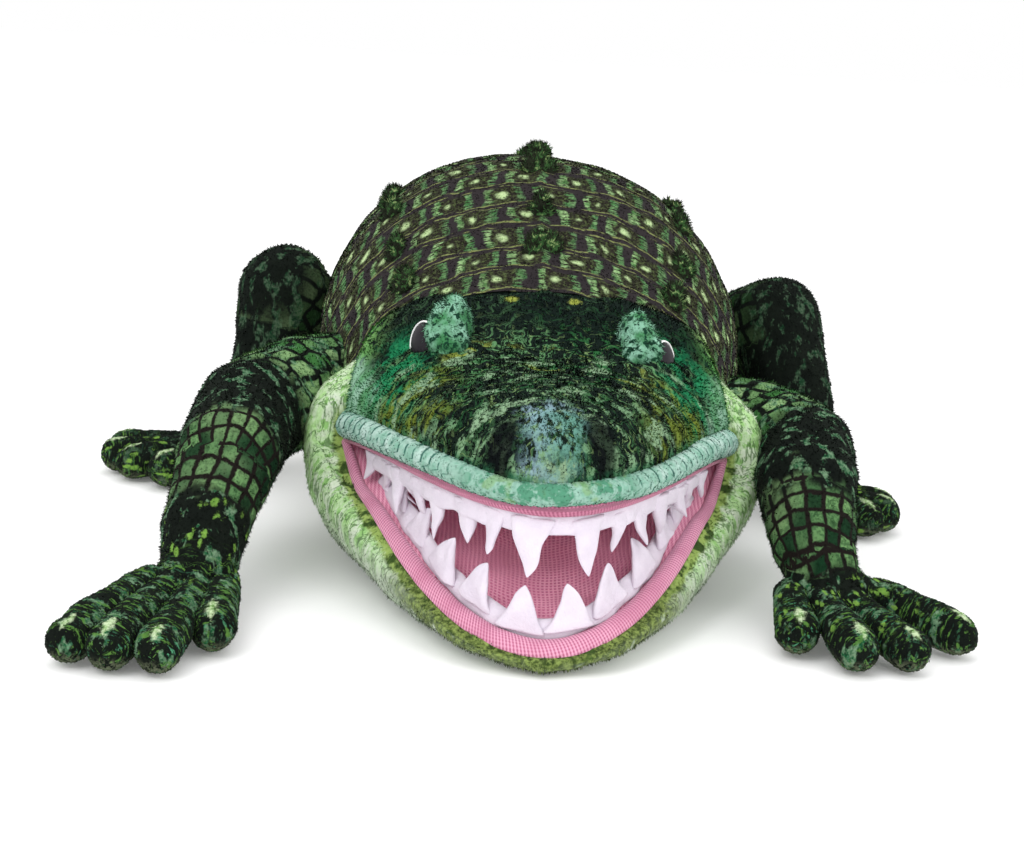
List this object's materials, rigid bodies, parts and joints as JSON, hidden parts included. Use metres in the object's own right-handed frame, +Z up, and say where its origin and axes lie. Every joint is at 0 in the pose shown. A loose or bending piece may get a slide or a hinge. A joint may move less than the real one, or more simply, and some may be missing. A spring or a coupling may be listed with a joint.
{
  "type": "moving mouth puppet",
  "caption": "Stuffed plush alligator hand puppet with an opening toothed mouth, hand sleeve, jointed paws and swinging tail.",
  "frame": {"origin": "centre of the flat of the belly, on the surface the puppet lies on, on the centre plane", "axes": "-Y towards the snout, +Y towards the tail, +Z up, +X to the right of someone facing the snout"},
  "size_m": [0.4184, 0.7852, 0.1817],
  "materials": {
    "back_plush": "short printed plush",
    "belly_plush": "short pale plush",
    "head_plush": "short printed plush",
    "jaw_plush": "short pale printed plush",
    "leg_plush": "short printed plush",
    "scute_plush": "long-pile plush",
    "fibre": "polyester fibre filling",
    "sleeve_cloth": "plain woven lining",
    "board": "thin flexible board",
    "mouth_lining": "knitted mesh lining",
    "pink_band": "woven twill tape",
    "lip_plush": "padded short plush",
    "eyelid_plush": "padded short plush",
    "tooth_fleece": "stiff folded fleece",
    "eye_plastic": "polished domed safety eye",
    "washer_plastic": "moulded locking washer"
  },
  "bodies": {
    "body": {"body_stuffing": "fibre", "back_skin": "back_plush", "belly_panel": "belly_plush", "hand_sleeve": "sleeve_cloth", "sleeve_hem": "sleeve_cloth", "centre_scutes": "scute_plush", "side_scutes": "scute_plush"},
    "head": {"head_skin": "head_plush", "head_stuffing": "fibre", "finger_pocket": "sleeve_cloth", "palate_board": "board", "palate_lining": "mouth_lining", "upper_lip_roll": "lip_plush", "upper_lip_binding": "pink_band", "upper_teeth": "tooth_fleece", "eyelid_left": "eyelid_plush", "eyelid_right": "eyelid_plush", "eye_left": "eye_plastic", "eye_right": "eye_plastic", "eye_washers": "washer_plastic"},
    "lower_jaw": {"jaw_skin": "jaw_plush", "jaw_stuffing": "fibre", "thumb_pocket": "sleeve_cloth", "jaw_board": "board", "jaw_lining": "mouth_lining", "lower_lip_binding": "pink_band", "lower_teeth": "tooth_fleece"},
    "tail_base": {"tail_base_skin": "back_plush", "tail_base_filling": "fibre", "tail_scutes_base": "scute_plush"},
    "tail_tip": {"tail_tip_skin": "back_plush", "tail_tip_filling": "fibre", "tail_scutes_tip": "scute_plush"},
    "front_left_leg": {"front_left_leg_skin": "leg_plush", "front_left_leg_filling": "fibre"},
    "front_left_paw": {"front_left_paw_skin": "leg_plush", "front_left_paw_filling": "fibre"},
    "front_right_leg": {"front_right_leg_skin": "leg_plush", "front_right_leg_filling": "fibre"},
    "front_right_paw": {"front_right_paw_skin": "leg_plush", "front_right_paw_filling": "fibre"},
    "hind_left_leg": {"hind_left_leg_skin": "leg_plush", "hind_left_leg_filling": "fibre"},
    "hind_left_paw": {"hind_left_paw_skin": "leg_plush", "hind_left_paw_filling": "fibre"},
    "hind_right_leg": {"hind_right_leg_skin": "leg_plush", "hind_right_leg_filling": "fibre"},
    "hind_right_paw": {"hind_right_paw_skin": "leg_plush", "hind_right_paw_filling": "fibre"}
  },
  "joints": [
    {"name": "head_nod", "type": "hinge", "parent": "body", "child": "head", "pos_m": [0, -0.105, 0.07], "axis": [-1, 0, 0], "range_deg": [-9, 15]},
    {"name": "jaw_open", "type": "hinge", "parent": "head", "child": "lower_jaw", "pos_m": [0, -0.136, 0.058], "axis": [1, 0, 0], "range_deg": [-22, 12], "deforming": ["upper_teeth", "lower_teeth"]},
    {"name": "front_left_swing", "type": "hinge", "parent": "body", "child": "front_left_leg", "pos_m": [-0.114, -0.078, 0.07], "axis": [0, 0, -1], "range_deg": [0, 55]},
    {"name": "front_right_swing", "type": "hinge", "parent": "body", "child": "front_right_leg", "pos_m": [0.116, -0.078, 0.066], "axis": [0, 0, 1], "range_deg": [0, 55]},
    {"name": "hind_left_swing", "type": "hinge", "parent": "body", "child": "hind_left_leg", "pos_m": [-0.127, 0.044, 0.086], "axis": [0, 0, -1], "range_deg": [-25, 25]},
    {"name": "hind_right_swing", "type": "hinge", "parent": "body", "child": "hind_right_leg", "pos_m": [0.13, 0.042, 0.086], "axis": [0, 0, 1], "range_deg": [-25, 25]},
    {"name": "front_left_wrist", "type": "hinge", "parent": "front_left_leg", "child": "front_left_paw", "pos_m": [-0.138, -0.204, 0.03], "axis": [-0.9965, 0.083, 0], "range_deg": [-20, 35]},
    {"name": "front_right_wrist", "type": "hinge", "parent": "front_right_leg", "child": "front_right_paw", "pos_m": [0.116, -0.184, 0.03], "axis": [-0.957, -0.29, 0], "range_deg": [-20, 35]},
    {"name": "hind_left_wrist", "type": "hinge", "parent": "hind_left_leg", "child": "hind_left_paw", "pos_m": [-0.148, 0.026, 0.034], "axis": [-0.203, 0.9792, 0], "range_deg": [-20, 35]},
    {"name": "hind_right_wrist", "type": "hinge", "parent": "hind_right_leg", "child": "hind_right_paw", "pos_m": [0.142, 0.004, 0.034], "axis": [-0.8115, -0.5844, 0], "range_deg": [-20, 35]},
    {"name": "tail_base_swing", "type": "hinge", "parent": "body", "child": "tail_base", "pos_m": [0, 0.152, 0.05], "axis": [0, 0, 1], "range_deg": [-25, 25]},
    {"name": "tail_tip_swing", "type": "hinge", "parent": "tail_base", "child": "tail_tip", "pos_m": [0, 0.322, 0.03], "axis": [0, 0, 1], "range_deg": [-25, 25]}
  ]
}
